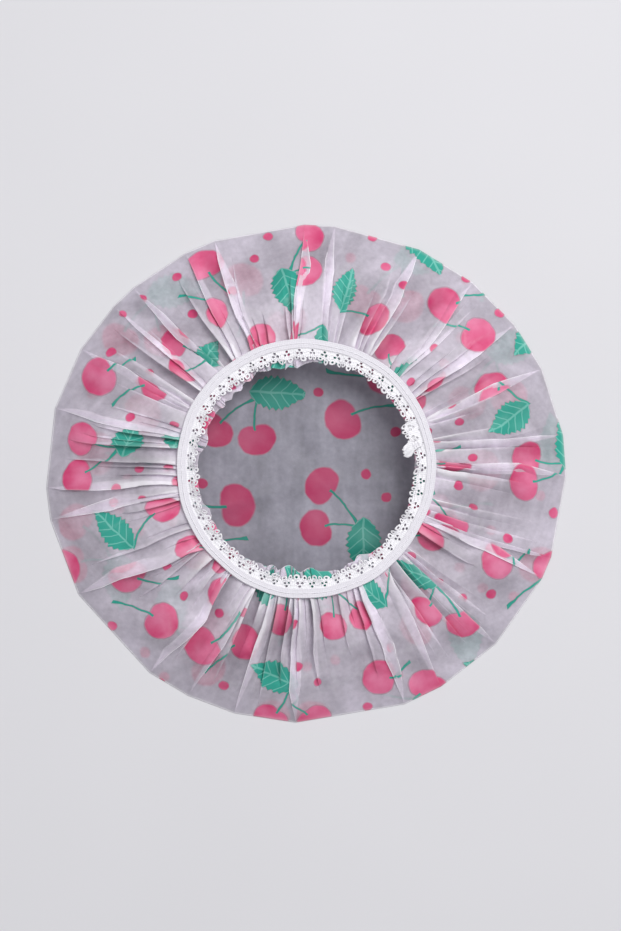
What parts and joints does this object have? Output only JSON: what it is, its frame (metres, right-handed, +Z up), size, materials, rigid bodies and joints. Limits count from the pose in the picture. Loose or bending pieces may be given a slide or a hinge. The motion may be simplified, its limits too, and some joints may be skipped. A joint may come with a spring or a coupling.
{
  "type": "shower cap",
  "caption": "Shower cap of thin printed film, gathered onto a ribbed elastic with a picot lace edging round its mouth.",
  "frame": {"origin": "middle of the cap's box on the surface that its crown lies on", "axes": "+Z up out of the mouth, +X across the wider way of the cap, +Y across its other way"},
  "size_m": [0.2798, 0.2678, 0.0266],
  "materials": {
    "film": "soft frosted film with a small print",
    "web": "ribbed white weave",
    "lace": "white knitted lace",
    "rubber": "natural rubber",
    "thread": "white sewing thread"
  },
  "bodies": {
    "crown": {"crown_film": "film", "skirt_film": "film"},
    "mouth": {"hem_frill": "film", "elastic_back": "web", "elastic_face": "web", "rubber_core_1": "rubber", "rubber_core_2": "rubber", "rubber_core_3": "rubber", "rubber_core_4": "rubber", "lace_edging": "lace", "needle_thread": "thread", "bobbin_thread": "thread", "end_tab": "lace", "bar_tack": "thread"}
  },
  "joints": [
    {"name": "mouth_lift", "type": "slide", "parent": "crown", "child": "mouth", "axis": [0, 0, 1], "range_m": [0, 0.025], "deforming": ["skirt_film"]}
  ]
}
